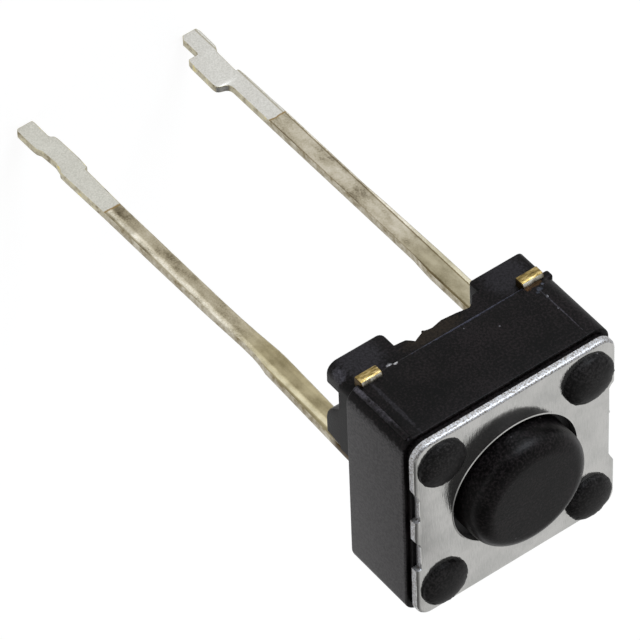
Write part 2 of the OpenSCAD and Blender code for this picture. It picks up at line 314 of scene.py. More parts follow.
def makePressedSteel():
    # stainless strip, cold rolled: pale and mirror-like, with fine rolling lines
    # along Y that fray what it mirrors. The real lines are about 0.01 mm wide and are
    # drawn at 0.03 mm, so that they show.
    material, shader, place = newMaterial("rolled stainless sheet")
    lines = addNode(material, "ShaderNodeMapping", {"Scale": (1, 0.12, 1)},
                    {"Vector": (place, "Object")})
    grain = addNode(material, "ShaderNodeTexNoise", {"Scale": perMm(0.03), "Detail": 4.0},
                    {"Vector": (lines, "Vector")})
    cloud = addNode(material, "ShaderNodeTexNoise", {"Scale": perMm(0.6), "Detail": 3.0},
                    {"Vector": (place, "Object")})
    mixed = addNode(material, "ShaderNodeMath", {"operation": "MULTIPLY_ADD", 1: 0.7},
                    {0: (grain, "Fac"), 2: (cloud, "Fac")})
    tone = setRamp(addNode(material, "ShaderNodeValToRGB", {}, {"Fac": (mixed, "Value")}),
                   [(0.6, "#bcbcb9"), (1.0, "#cecdca")])
    link(material, tone, "Color", shader, "Base Color")
    addGrain(material, shader, grain, 0.005)
    dull = addNode(material, "ShaderNodeMapRange", {"To Min": 0.05, "To Max": 0.13},
                   {"Value": (grain, "Fac")})
    link(material, dull, "Result", shader, "Roughness")
    shader.inputs["Metallic"].default_value = 0.94
    return material


def makeShearedSteel():
    # outer edge of the sheet, sheared and tumbled: dull grey, speckled with fine dents
    material, shader, place = newMaterial("tumbled steel edge")
    grain = addNode(material, "ShaderNodeTexNoise", {"Scale": perMm(0.035), "Detail": 3.0},
                    {"Vector": (place, "Object")})
    tone = setRamp(addNode(material, "ShaderNodeValToRGB", {}, {"Fac": (grain, "Fac")}),
                   [(0.34, "#6f6a64"), (0.46, "#a19f9e"), (0.66, "#c2c5ca")])
    link(material, tone, "Color", shader, "Base Color")
    addGrain(material, shader, grain, 0.004)
    shader.inputs["Metallic"].default_value = 1.0
    shader.inputs["Roughness"].default_value = 0.48
    return material


def makePlatedBrass(name, bands, endBands, rootTones, spots=()):
    # brass strip with matt tin plating: clean grey on the dipped ends, worn olive along
    # the middle, yellow at the root, mottled on the tab. The bands, places across the
    # lead in mm with a tone, paint a highlight on the bright ridge by the outer edge, with
    # painted shade in the dark lines beside it, and the end bands do the same for the
    # dipped end. Marks only darken. The tin's own grain is under 0.01 mm and is drawn at 0.04
    # mm, so that it shows.
    material, shader, place = newMaterial(name)
    axes = addNode(material, "ShaderNodeSeparateXYZ", {}, {"Vector": (place, "Object")})
    drawn = addNode(material, "ShaderNodeMapping", {"Scale": (1, 1, 0.55)},
                    {"Vector": (place, "Object")})
    cloud = addNode(material, "ShaderNodeTexNoise",
                    {"Scale": perMm(0.42), "Detail": 6.0, "Roughness": 0.62},
                    {"Vector": (drawn, "Vector")})
    salt = addNode(material, "ShaderNodeTexNoise", {"Scale": perMm(0.04), "Detail": 3.0},
                   {"Vector": (place, "Object")})
    gritty = addNode(material, "ShaderNodeMath", {"operation": "MULTIPLY_ADD", 1: 0.35},
                     {0: (salt, "Fac"), 2: (cloud, "Fac")})
    stain = setRamp(addNode(material, "ShaderNodeValToRGB", {}, {"Fac": (gritty, "Value")}),
                    [(0.5, "#948c79"), (0.61, "#c4bdaa"), (0.73, "#ddd7c7"), (0.9, "#f3efe4")])
    clean = setRamp(addNode(material, "ShaderNodeValToRGB", {}, {"Fac": (salt, "Fac")}),
                    [(0.3, "#bfbeb7"), (0.7, "#d7d6d0")])
    out = addNode(material, "ShaderNodeMath", {"operation": "ABSOLUTE"}, {0: (axes, "X")})
    bandStart, bandWidth = 2.185, 0.6  # mm: the range below, less the mean fraying
    frayed = addNode(material, "ShaderNodeMath", {"operation": "MULTIPLY_ADD", 1: 0.00003},
                     {0: (salt, "Fac"), 2: (out, "Value")})
    across = addNode(material, "ShaderNodeMapRange",
                     {"From Min": 0.0022, "From Max": 0.0028}, {"Value": (frayed, "Value")})
    band = setRamp(addNode(material, "ShaderNodeValToRGB", {}, {"Fac": (across, "Result")}),
                   [((x - bandStart) / bandWidth, code) for x, code in bands])
    endBand = setRamp(addNode(material, "ShaderNodeValToRGB", {}, {"Fac": (across, "Result")}),
                      [((x - bandStart) / bandWidth, code) for x, code in endBands])
    # the bands multiply a painted highlight and painted shade lines into the middle, the root
    # and the dipped end
    wornWithHighlight = addNode(material, "ShaderNodeVectorMath", {"operation": "MULTIPLY"},
                   {0: (stain, "Color"), 1: (band, "Color")})
    dippedWithHighlight = addNode(material, "ShaderNodeVectorMath", {"operation": "MULTIPLY"},
                     {0: (clean, "Color"), 1: (endBand, "Color")})
    wavy = addNode(material, "ShaderNodeMath", {"operation": "MULTIPLY_ADD", 1: 0.00018},
                   {0: (cloud, "Fac"), 2: (axes, "Z")})
    # yellow at the root, gone 4.2 mm down
    root = addNode(material, "ShaderNodeMapRange",
                   {"From Min": -0.0042, "From Max": -0.003, "To Min": 0.0, "To Max": 0.8},
                   {"Value": (wavy, "Value")})
    mottled = setRamp(addNode(material, "ShaderNodeValToRGB", {}, {"Fac": (cloud, "Fac")}),
                      [(0.38, rootTones[0]), (0.62, rootTones[1])])
    yellowedWithHighlight = addNode(material, "ShaderNodeVectorMath", {"operation": "MULTIPLY"},
                       {0: (mottled, "Color"), 1: (band, "Color")})
    colour = blendColours(material, (root, "Result"), (wornWithHighlight, "Vector"), (yellowedWithHighlight, "Vector"))
    for centre, radius, code, *stretch in spots:
        spot = spotNear(material, place, centre, radius, 0.12, *stretch)
        shade, output = blendColours(material, spot, "#ffffff", code)
        darker = addNode(material, "ShaderNodeVectorMath", {"operation": "MULTIPLY"},
                         {0: colour, 1: (shade, output)})
        colour = darker, "Vector"
    # brown line at the edge of the dip, 9 mm down, then the dipped end
    rust = addNode(material, "ShaderNodeMapRange",
                   {"From Min": -0.00893, "From Max": -0.00897}, {"Value": (wavy, "Value")})
    colour = blendColours(material, (rust, "Result"), colour, "#8a7348")
    end = addNode(material, "ShaderNodeMapRange",
                  {"From Min": -0.00898, "From Max": -0.00901}, {"Value": (wavy, "Value")})
    colour = blendColours(material, (end, "Result"), colour, (dippedWithHighlight, "Vector"))
    # mottled from the board plane up, where only the tab shows
    tab = addNode(material, "ShaderNodeMapRange",
                  {"From Min": 0.0, "From Max": 0.0003}, {"Value": (axes, "Z")})
    rolled = setRamp(addNode(material, "ShaderNodeValToRGB", {}, {"Fac": (cloud, "Fac")}),
                     [(0.4, "#6d675a"), (0.5, "#a9a598"), (0.6, "#cfccc2")])
    colour = blendColours(material, (tab, "Result"), colour, (rolled, "Color"))
    link(material, colour[0], colour[1], shader, "Base Color")
    addGrain(material, shader, salt, 0.004)
    dull = addNode(material, "ShaderNodeMapRange", {"To Min": 0.32, "To Max": 0.5},
                   {"Value": (cloud, "Fac")})
    link(material, dull, "Result", shader, "Roughness")
    shader.inputs["Metallic"].default_value = 1.0
    return material


def makeShearedSide():
    # narrow side faces of the leads, sheared after plating: brass dulled to brown grey,
    # barer on the dipped end and dark beside the tab
    material, shader, place = newMaterial("dulled sheared side")
    axes = addNode(material, "ShaderNodeSeparateXYZ", {}, {"Vector": (place, "Object")})
    cloud = addNode(material, "ShaderNodeTexNoise",
                    {"Scale": perMm(0.22), "Detail": 5.0, "Roughness": 0.65},
                    {"Vector": (place, "Object")})
    tone = setRamp(addNode(material, "ShaderNodeValToRGB", {}, {"Fac": (cloud, "Fac")}),
                   [(0.35, "#83775c"), (0.5, "#a8a08c"), (0.65, "#c1bbab")])
    bare = setRamp(addNode(material, "ShaderNodeValToRGB", {}, {"Fac": (cloud, "Fac")}),
                   [(0.35, "#7a6f56"), (0.46, "#aca58f"), (0.6, "#c3bda4"), (0.68, "#cfc078")])
    end = addNode(material, "ShaderNodeMapRange",
                  {"From Min": -0.0088, "From Max": -0.0094}, {"Value": (axes, "Z")})
    colour = blendColours(material, (end, "Result"), (tone, "Color"), (bare, "Color"))
    tab = addNode(material, "ShaderNodeMapRange",
                  {"From Min": 0.0, "From Max": 0.0003}, {"Value": (axes, "Z")})
    colour = blendColours(material, (tab, "Result"), colour, "#4a3c25")
    link(material, colour[0], colour[1], shader, "Base Color")
    addGrain(material, shader, cloud, 0.005, 0.5)
    shader.inputs["Metallic"].default_value = 1.0
    shader.inputs["Roughness"].default_value = 0.42
    return material


def makeCutBrass():
    # bare brass where the strip was sheared: golden, with torn lines
    material, shader, place = newMaterial("sheared brass")
    lines = addNode(material, "ShaderNodeMapping", {"Scale": (0.3, 1, 1)},
                    {"Vector": (place, "Object")})
    tear = addNode(material, "ShaderNodeTexNoise", {"Scale": perMm(0.05), "Detail": 4.0},
                   {"Vector": (lines, "Vector")})
    tone = setRamp(addNode(material, "ShaderNodeValToRGB", {}, {"Fac": (tear, "Fac")}),
                   [(0.32, "#54462a"), (0.5, "#8a7747"), (0.68, "#b9a474")])
    link(material, tone, "Color", shader, "Base Color")
    addGrain(material, shader, tear, 0.006)
    shader.inputs["Metallic"].default_value = 1.0
    shader.inputs["Roughness"].default_value = 0.38
    return material


def makeSpringSteel():
    # silver plated spring steel, stamped: bright and nearly smooth
    material, shader, place = newMaterial("stamped spring steel")
    grain = addNode(material, "ShaderNodeTexNoise", {"Scale": perMm(0.2), "Detail": 3.0},
                    {"Vector": (place, "Object")})
    tone = setRamp(addNode(material, "ShaderNodeValToRGB", {}, {"Fac": (grain, "Fac")}),
                   [(0.3, "#bdbab2"), (0.7, "#d2d0c9")])
    link(material, tone, "Color", shader, "Base Color")
    dull = addNode(material, "ShaderNodeMapRange", {"To Min": 0.2, "To Max": 0.32},
                   {"Value": (grain, "Fac")})
    link(material, dull, "Result", shader, "Roughness")
    shader.inputs["Metallic"].default_value = 1.0
    return material


# spots on the base, some real marks and some painted light: place in mm, radius in mm, colour,
# and how they are drawn out
baseMarksAndPaintedLight = (
    # painted light: the whole left face made lighter, as if lit from the left
    ((-3.02, 0, 2.1), 0.065, "#535152", (1, 0.01, 0.015)),
    ((-1.6, 3.0, 1.04), 0.07, "#c9c6c5"), ((-1.7, 2.9, 0.94), 0.085, "#b5b3b4"),
    ((2.2, 3.0, 1.12), 0.1, "#4f351a"), ((2.42, 3.0, 1.12), 0.08, "#43301a", (0.4, 1, 1)),
    ((2.4, 3.0, 1.29), 0.07, "#3f424b", (0.7, 1, 1)), ((2.56, 3.0, 1.21), 0.05, "#4a4c55"),
    ((2.3, 3.0, 1.36), 0.05, "#3a3c44"), ((2.4, 3.0, 1.6), 0.035, "#8a888c"),
    ((2.38, 3.0, 2.04), 0.035, "#7a787c"),
    # painted highlight: a faint light line down the right front corner, where its rounding
    # starts
    ((2.39, 3.0, 2.1), 0.02, "#403e43", (1, 1, 0.02)),
    # painted highlights down the rounded left front corner: a sheen stripe, and a faint light
    # line where the rounding meets the front face
    ((-2.78, 2.97, 1.3), 0.09, "#57545a", (1, 1, 0.2)),
    ((-2.76, 2.95, 1.9), 0.085, "#454247", (1, 1, 0.06)),
    ((-2.42, 3.0, 2.0), 0.07, "#29272a", (1, 1, 0.06)),
    # painted sheen on the left foot's rounded corner, and painted light over the lower front by
    # each foot
    ((-2.78, 2.8, 0.4), 0.26, "#514f55"), ((-2.1, 2.9, 0.35), 0.7, "#2b292c"),
    ((2.1, 2.9, 0.4), 0.7, "#282629"), ((-0.3, 2.9, 0.75), 0.5, "#261f18", (0.5, 1, 1.6)),
    # painted highlight along the parting edge
    ((0.5, 3.0, 1.03), 0.06, "#3b3c4a", (0.03, 1, 1)),
)
# tone across a lead, from the inner edge to the outer edge in mm: the plating's tone, with a
# painted highlight on the bright ridge and painted shade in the dark lines beside it
leftBands = ((2.25, "#cbc6ba"), (2.3, "#bdb8ac"), (2.49, "#c2bdb1"), (2.54, "#f4f1ea"),
             (2.6, "#ffffff"), (2.645, "#ffffff"), (2.665, "#cfcabd"), (2.7, "#a8a395"))
leftEndBands = ((2.2, "#f3f2ee"), (2.8, "#f3f2ee"))
rightBands = ((2.235, "#857b66"), (2.27, "#cdc9c1"), (2.66, "#d3d0ca"), (2.685, "#968c76"),
              (2.7, "#968c76"), (2.715, "#ffffff"))
rightEndBands = ((2.2, "#fbfafa"), (2.63, "#fbfafa"), (2.655, "#cfc8b8"), (2.67, "#cfc8b8"),
                 (2.685, "#ffffff"))
# darker patches on the left lead just above its dipped end, given as on the base
leftMarks = (((-2.42, 0.37, -8.9), 0.16, "#d2cfca", (1, 1, 0.6)),
             ((-2.56, 0.37, -8.25), 0.16, "#d8d6d1", (1, 1, 0.5)))
nylon = makeMouldedPlastic("moulded black nylon", "#000000", "#1b1617", 0.42, 0.09, baseMarksAndPaintedLight)
melted = makeMouldedPlastic("melted black nylon", "#0e0d0d", "#292727", 0.5, 0.15)
buttonPlastic = makeMouldedPlastic("moulded black acetal", "#090808", "#211d1e", 0.36, 0.104)
steel = makePressedSteel()
edgeSteel = makeShearedSteel()
leftPlated = makePlatedBrass("matt tin plated brass, left lead", leftBands, leftEndBands,
                             ("#b1a888", "#d9d0ad"), leftMarks)
rightPlated = makePlatedBrass("matt tin plated brass, right lead", rightBands,
                              rightEndBands, ("#a59e84", "#cac3a9"))
sideBrass = makeShearedSide()
cutBrass = makeCutBrass()
spring = makeSpringSteel()
print("materials made")

# base: block with a stepped rim, lower part, feet, lead guards and the cavity
baseSizes = {
    "halfWidth": 3.0, "leftFace": -3.02, "cornerRadius": 0.45, "edgeRadius": 0.04,
    "partingHeight": 1.0, "partingEdge": 0.07, "blockTop": 3.12,
    "rimInset": 0.12, "rimTop": 3.25, "overlap": 0.1,
    "lowerLeft": -2.88, "lowerRight": 2.9, "lowerFront": 2.88, "lowerCorner": 0.33,
    "underside": 0.55, "sideStep": 0.4, "wallEnd": 0.48,
    "cavityRadius": 2.3, "cavityFloor": 1.1,
    "groove": ((-1.3, 1.3, 0), (1.36, farOut, 0.8)), "bedBack": 1.25,
    "bedSetIn": 0.001, "bedTop": 0.9,
    "undersideRows": [(-1.4, 0.5), (-1.07, 0.53), (-0.93, 0.55), (-0.84, 0.63), (-0.77, 0.71),
                      (-0.66, 0.66), (-0.58, 0.63), (-0.5, 0.6), (-0.475, 0.55), (-0.44, 0.55),
                      (-0.41, 0.58), (-0.3, 0.61), (-0.21, 0.62), (0.09, 0.56), (0.5, 0.6),
                      (0.84, 0.66), (0.98, 0.58), (1.13, 0.4), (1.4, 0.36)],
    "leftFoot": {"outside": -2.82, "inside": -1.22, "depth": 0.6, "inner": 0.15,
                 "corner": 0.3},
    "rightFoot": {"outside": 2.9, "inside": 1.32, "depth": 0.78, "inner": 0.09,
                  "corner": 0.16},
    "footOverlap": 0.2, "softEdge": 0.05,
    "rearFoot": {"half": 1.6, "depth": 0.5, "corner": 0.2, "edge": 0.06},
    "guardThickness": 0.32, "guardTop": 0.95,
    "guardRows": [(0.5, 0.9), (0.68, 0.02), (1.16, 0.02), (1.34, 0.06), (1.5, 0.15),
                  (1.62, 0.28), (1.7, 0.4), (2.0, 0.68)],
    "bead": (-2.76, 2.94), "beadRadius": 0.075, "beadEdge": 0.03,
    "nub": ((2.7, 2.6, 0.86), (2.975, 2.93, 1.1)), "nubEdge": 0.06,
}


def makeFoot(size, foot):
    outer, inside = foot["outside"], foot["inside"]
    front = size["lowerFront"]
    block = addBlock("foot", (min(outer, inside), front - foot["depth"], 0),
                     (max(outer, inside), front, size["underside"] + size["footOverlap"]))
    roundEdges(block, lambda e: liesAt(0)(e) and all(abs(v.co.x - inside) < 0.01
                                                      for v in e.verts), foot["inner"], 5)
    roundEdges(block, lambda e: isUpright(e) and abs(e.verts[0].co.x - outer) < 0.01
               and e.verts[0].co.y > front - 0.01, foot["corner"], 8)
    softenEdges(block, size["softEdge"], 3, 40)
    return block


def makeBase(size):
    half, over = size["halfWidth"], size["overlap"]
    parting, top = size["partingHeight"], size["blockTop"]
    base = addBlock("base_moulding", (size["leftFace"], -half, parting), (half, half, top))
    roundEdges(base, isUpright, size["cornerRadius"], 10)
    roundEdges(base, liesAt(top), size["edgeRadius"], 3)
    roundEdges(base, liesAt(parting), size["partingEdge"], 4)
    inner = half - size["rimInset"]
    rim = addBlock("rim", (-inner, -inner, top - over), (inner, inner, size["rimTop"]))
    roundEdges(rim, isUpright, size["cornerRadius"] - size["rimInset"], 8)
    combine(base, rim, "UNION")
    front, low = size["lowerFront"], size["underside"]
    lower = addBlock("lower", (size["lowerLeft"], -front, low),
                     (size["lowerRight"], front, parting + over))

    def isRightFront(e):  # the sharper corner over the right foot
        return isUpright(e) and min(e.verts[0].co.xy) > 1
    roundEdges(lower, isRightFront, size["rightFoot"]["corner"], 8)
    roundEdges(lower, lambda e: isUpright(e) and not isRightFront(e), size["lowerCorner"], 8)
    for x in (size["lowerLeft"], size["lowerRight"]):
        step = addBlock("step", (x - size["sideStep"], -farOut, 0),
                        (x + size["sideStep"], size["wallEnd"], parting))
        combine(lower, step, "DIFFERENCE")
    # uneven underside between the feet: the groove is cut deep, then filled to its rows
    combine(lower, addBlock("groove", *size["groove"]), "DIFFERENCE")
    combine(lower, addProfile("groove bed", "X", size["undersideRows"],
                              (size["bedBack"], front - size["bedSetIn"]), size["bedTop"]),
            "UNION")
    combine(base, lower, "UNION")
    combine(base, makeFoot(size, size["leftFoot"]), "UNION")
    combine(base, makeFoot(size, size["rightFoot"]), "UNION")
    for outer, side in ((size["lowerLeft"], -1), (size["lowerRight"], 1)):
        span = sorted((outer, outer - side * size["guardThickness"]))
        guard = addProfile("guard", "Y", size["guardRows"], span, size["guardTop"])
        softenEdges(guard, size["softEdge"], 3, 25)
        combine(base, guard, "UNION")
    foot = size["rearFoot"]
    rear = addBlock("rear foot", (-foot["half"], -front, 0),
                    (foot["half"], -front + foot["depth"], low + over))
    roundEdges(rear, isUpright, foot["corner"], 6)
    roundEdges(rear, liesAt(0), foot["edge"], 4)
    combine(base, rear, "UNION")
    # bead down the left front corner, and a nub by the right tab
    bead = addRound("bead", size["beadRadius"], parting + over, top - over, size["bead"], 16)
    roundEdges(bead, liesAt(parting + over), size["beadEdge"], 2)
    combine(base, bead, "UNION")
    nub = addBlock("nub", *size["nub"])
    softenEdges(nub, size["nubEdge"], 3, 40)
    combine(base, nub, "UNION")
    cavity = addRound("cavity", size["cavityRadius"], size["cavityFloor"], farOut)
    combine(base, cavity, "DIFFERENCE")
    return base


base = finishPiece(makeBase(baseSizes), "housing", [nylon], "base")

# melted heads of the four posts: low domes, each pressed a little off its post, with
# torn rims. Places hold name, post, shift of the dome, width and height factors.
headSizes = {"post": 0.42, "postBottom": 3.1, "postOverlap": 0.05, "radius": 0.645,
             "height": 0.27, "plateTop": 3.45, "edge": 0.06, "rings": 8, "ringTurn": 10,
             "tornFrom": 0.8, "uneven": 0.02, "seed": 7}
headPlaces = (("head_front_left", (-2.1, 2.1), (-0.06, 0), 1.02, 1.0),
              ("head_front_right", (2.1, 2.1), (0, -0.08), 1.09, 1.25),
              ("head_rear_left", (-2.1, -2.1), (-0.045, 0), 1.0, 1.0),
              ("head_rear_right", (2.1, -2.1), (0.05, -0.09), 1.0, 1.0))


def makeHead(size):
    top, radius, rise = size["plateTop"], size["radius"], size["height"] - size["edge"]
    head = addRound("head", radius, top, top + size["edge"], sides=64)
    for ring in range(1, size["rings"] + 1):  # up and in along a quarter of an ellipse
        choose(head, "FACE", lambda f: f.normal.z > 0.7 and len(f.verts) > 8)
        now = math.radians(ring * size["ringTurn"])
        before = math.radians(ring * size["ringTurn"] - size["ringTurn"])
        bpy.ops.mesh.extrude_region_move(TRANSFORM_OT_translate={
            "value": (0, 0, rise * (math.sin(now) - math.sin(before)))})
        shrink = math.cos(now) / math.cos(before)
        bpy.ops.transform.resize(value=(shrink, shrink, 1), center_override=(0, 0, top))
    leaveEdit()
    return head


def copyPiece(piece, name, shift):
    pick(piece)
    bpy.ops.object.duplicate()
    twin = bpy.context.object
    twin.name = twin.data.name = name
    twin.location = shift
    bpy.ops.object.transform_apply(location=True, rotation=True, scale=True)
    return twin


headPattern = makeHead(headSizes)
for number, (name, post, shift, width, height) in enumerate(headPlaces):
    x, y = post[0] + shift[0], post[1] + shift[1]
    head = copyPiece(headPattern, name, (x, y, 0))
    choose(head, "VERT", lambda v: True)
    bpy.ops.transform.resize(value=(width, width, height),
                             center_override=(x, y, headSizes["plateTop"]))
    leaveEdit()
    torn = headSizes["radius"] * headSizes["tornFrom"]
    choose(head, "VERT", lambda v: math.dist(v.co.xy, (x, y)) > torn)
    bpy.ops.transform.vertex_random(offset=headSizes["uneven"],
                                    seed=headSizes["seed"] + number)
    leaveEdit()
    combine(head, addRound("post", headSizes["post"], headSizes["postBottom"],
                           headSizes["plateTop"] + headSizes["postOverlap"], post, 48),
            "UNION")
    finishPiece(head, "housing", [melted])
bpy.data.objects.remove(headPattern)

# cover plate: pressed sheet with a round hole and notches in two edges
plateSizes = {
    "low": (-2.92, -2.965), "high": (2.945, 2.92), "bottom": 3.25, "top": 3.45,
    "cornerRadius": 0.45, "hole": 1.82, "holeCentre": (-0.03, 0.05),
    "postHole": 0.45, "away": 2.1, "cut": (3, farOut), "edgeZone": 2.5,
    "roll": 0.09, "notchEdge": 0.03, "lipWidth": 0.045, "lipHeight": 0.016,
    "lipCrest": 0.008, "lipOverlap": 0.01,
    "notches": (
        (-3.2, [(0.44, -3.0), (0.46, -2.79), (1.16, -2.79), (1.3, -2.835), (1.52, -2.925),
                (1.6, -3.0)]),
        (-3.2, [(-1.26, -3.0), (-1.24, -2.78), (-0.5, -2.78), (-0.36, -2.82), (-0.2, -2.925),
                (-0.1, -3.0)]),
        (3.2, [(-1.6, 3.0), (-1.5, 2.94), (-1.28, 2.84), (-1.12, 2.77), (0.3, 2.77),
               (0.35, 2.8), (0.42, 2.775), (1.18, 2.77), (1.28, 2.83), (1.4, 2.94),
               (1.5, 3.0)])),
}


def addLip(plate, size):  # fine raised burr that the punch left around the hole
    centre = size["holeCentre"]
    lip = addRound("lip", size["hole"] + size["lipWidth"], size["top"] - size["lipOverlap"],
                   size["top"] + size["lipHeight"], centre, 160)
    choose(lip, "FACE", lambda f: f.normal.z > 0.9)
    narrow = (size["hole"] + size["lipCrest"]) / (size["hole"] + size["lipWidth"])
    bpy.ops.transform.resize(value=(narrow, narrow, 1), center_override=(*centre, 0))
    leaveEdit()
    combine(lip, addRound("lip hole", size["hole"], *size["cut"], centre, 160), "DIFFERENCE")
    combine(plate, lip, "UNION")


def makePlate(size):
    plate = addBlock("cover_plate_sheet", (*size["low"], size["bottom"]),
                     (*size["high"], size["top"]))
    roundEdges(plate, isUpright, size["cornerRadius"], 12)
    roundEdges(plate, liesAt(size["top"]), size["roll"], 4)
    for level, rows in size["notches"]:
        combine(plate, addProfile("notch", "Y", rows, size["cut"], level, "X"), "DIFFERENCE")

    def isNotchEdge(e):  # the top edges of the notches, not of the rolled outline
        lean = [abs(f.normal.z) for f in e.link_faces]
        return liesAt(size["top"])(e) and min(lean) < 0.05
    roundEdges(plate, isNotchEdge, size["notchEdge"], 2)
    combine(plate, addRound("hole", size["hole"], *size["cut"], size["holeCentre"], 160),
            "DIFFERENCE")
    for x in (-size["away"], size["away"]):
        for y in (-size["away"], size["away"]):
            combine(plate, addRound("post hole", size["postHole"], *size["cut"], (x, y), 32),
                    "DIFFERENCE")
    addLip(plate, size)
    return plate


plate = finishPiece(makePlate(plateSizes), "housing", [steel, edgeSteel],
                    "cover_plate")
# the sheared outside is duller than the rolled face
paintFaces(plate, 1,
           lambda f: max(map(abs, f.calc_center_median().xy)) > plateSizes["edgeZone"] / 1000
           and (abs(f.normal.z) < 0.3 or abs(f.normal.y) > 0.3))

# push button: nub, hub and flange below, rounded shaft above
buttonSizes = {
    "nubRadius": 0.45, "nubBottom": 1.52, "hubRadius": 1.1, "hubBottom": 2.22,
    "flangeRadius": 2.15, "flangeBottom": 2.73, "flangeTop": 3.23,
    "radius": 1.65, "top": 4.25, "rounding": 0.46, "ringInset": 0.4,
    "offCentre": (-0.03, 0.07, 0),
}


def makeButton(size):
    button = addRound("push_button", size["nubRadius"], size["nubBottom"], size["hubBottom"],
                      sides=144)
    choose(button, "FACE", lambda f: f.normal.z > 0.9)
    # an extrude that goes nowhere, and the resize after it, make each flat step
    bpy.ops.mesh.extrude_region_move(TRANSFORM_OT_translate={"value": (0, 0, 0)})
    radius = size["nubRadius"]
    for wider, higher in ((size["hubRadius"], size["flangeBottom"]),
                          (size["flangeRadius"], size["flangeTop"]),
                          (size["radius"], size["top"])):
        bpy.ops.transform.resize(value=(wider / radius, wider / radius, 1),
                                 center_override=(0, 0, 0))
        shape = bmesh.from_edit_mesh(button.data)
        now = max(f.calc_center_median().z for f in shape.faces if f.select)
        bpy.ops.mesh.extrude_region_move(
            TRANSFORM_OT_translate={"value": (0, 0, higher - now)})
        if wider != size["radius"]:
            bpy.ops.mesh.extrude_region_move(TRANSFORM_OT_translate={"value": (0, 0, 0)})
        radius = wider
    leaveEdit()
    roundEdges(button, liesAt(size["top"]), size["rounding"], 14)
    choose(button, "FACE", lambda f: f.normal.z > 0.999
           and f.calc_center_median().z > size["top"] - 0.01)
    for ring in range(2):
        bpy.ops.mesh.inset(thickness=size["ringInset"], depth=0)
    leaveEdit()
    button.location = size["offCentre"]
    bpy.ops.object.transform_apply(location=True, rotation=True, scale=True)
    return button


button = finishPiece(makeButton(buttonSizes), "plunger", [buttonPlastic],
                     "button")

# terminals: lead drawn down from the base, strip along Y to the cut tab end.
# Rows of a lead give its height, left edge and right edge.
leadSizes = {
    "back": 0.17, "face": 0.37, "stripBottom": 0.92, "stripTop": 1.12, "root": 0.64,
    "strip": 0.5, "stripStart": 0.4, "bendStart": 1.6, "bendEnd": 2.2,
    "rounding": 0.035, "leadX": 2.5, "rightDrop": 0.12,
    "tab": 0.62, "tabEnd": 3.12, "leftTabX": -2.36, "rightTabX": 2.42,
    "tabBelow": 0.04, "tabAbove": 0.07, "tabRoll": 0.13, "cutFrom": 3.1,
    "leftRows": [(-2.6, -2.72, -2.09), (-2.9, -2.67, -2.095), (-3.2, -2.645, -2.115),
                 (-3.6, -2.645, -2.145), (-4.2, -2.665, -2.175), (-5.0, -2.695, -2.195),
                 (-7.0, -2.732, -2.216), (-9.0, -2.758, -2.24), (-10.54, -2.8, -2.228),
                 (-10.56, -2.8, -2.155), (-10.8, -2.8, -2.14), (-10.9, -2.745, -2.135),
                 (-11.15, -2.7, -2.135), (-11.68, -2.74, -2.152), (-11.8, -2.8, -2.16),
                 (-11.9, -2.81, -2.18), (-11.97, -2.815, -2.27), (-12.04, -2.82, -2.288),
                 (-12.58, -2.824, -2.288), (-12.69, -2.745, -2.3)],
    "rightRows": [(-2.6, 2.17, 2.825), (-3.0, 2.195, 2.822), (-3.3, 2.222, 2.815),
                  (-4.0, 2.218, 2.8), (-5.0, 2.216, 2.78), (-6.0, 2.213, 2.752),
                  (-9.0, 2.198, 2.745), (-9.6, 2.198, 2.725), (-10.5, 2.195, 2.715),
                  (-10.58, 2.185, 2.71), (-10.65, 2.15, 2.71), (-10.7, 2.09, 2.71),
                  (-10.73, 2.0, 2.71), (-10.76, 1.93, 2.71), (-10.8, 1.885, 2.705),
                  (-10.87, 1.865, 2.7), (-10.95, 1.862, 2.685), (-10.97, 1.862, 2.615),
                  (-11.76, 1.876, 2.636), (-11.87, 1.88, 2.69), (-11.95, 1.9, 2.725),
                  (-11.99, 1.935, 2.73), (-12.0, 2.185, 2.73), (-12.05, 2.207, 2.735),
                  (-12.62, 2.207, 2.745), (-12.76, 2.3, 2.71)],
}


def drawRows(piece, start, rows):
    # the lowest face is drawn down from row to row and set to each row's width
    choose(piece, "FACE", lambda f: f.normal.z < -0.9 and f.calc_center_median().y < 1)
    height, left, right = start
    for nextHeight, nextLeft, nextRight in rows:
        bpy.ops.mesh.extrude_region_move(
            TRANSFORM_OT_translate={"value": (0, 0, nextHeight - height)})
        middle, nextMiddle = (left + right) / 2, (nextLeft + nextRight) / 2
        bpy.ops.transform.resize(value=((nextRight - nextLeft) / (right - left), 1, 1),
                                 center_override=(middle, 0, nextHeight))
        bpy.ops.transform.translate(value=(nextMiddle - middle, 0, 0))
        height, left, right = nextHeight, nextLeft, nextRight
    leaveEdit()


def drawStrip(piece, side, size):  # from the lead's face out to the tab's end
    choose(piece, "FACE", lambda f: f.normal.y > 0.9 and f.calc_center_median().z > 0)
    x, y, width = side * size["leadX"], size["face"], size["root"]
    tabX = size["leftTabX" if side < 0 else "rightTabX"]
    for nextX, nextY, nextWidth in ((x, size["stripStart"], size["strip"]),
                                    (x, size["bendStart"], size["strip"]),
                                    (tabX, size["bendEnd"], size["tab"]),
                                    (tabX, size["tabEnd"], size["tab"])):
        bpy.ops.mesh.extrude_region_move(
            TRANSFORM_OT_translate={"value": (nextX - x, nextY - y, 0)})
        bpy.ops.transform.resize(value=(nextWidth / width, 1, 1),
                                 center_override=(nextX, nextY, 0))
        x, y, width = nextX, nextY, nextWidth
    leaveEdit()


def shapeTab(piece, size, low, high):  # sheared end, thicker than the strip and rolled over
    for level, move in ((low, -size["tabBelow"]), (high, size["tabAbove"])):
        choose(piece, "VERT", lambda v: v.co.y > 2 and abs(v.co.z - level) < 1e-4)
        bpy.ops.transform.translate(value=(0, 0, move))
        leaveEdit()
    top = high + size["tabAbove"]
    roundEdges(piece, lambda e: liesAt(top)(e) and all(abs(v.co.y - size["tabEnd"]) < 1e-4
                                                       for v in e.verts), size["tabRoll"], 5)


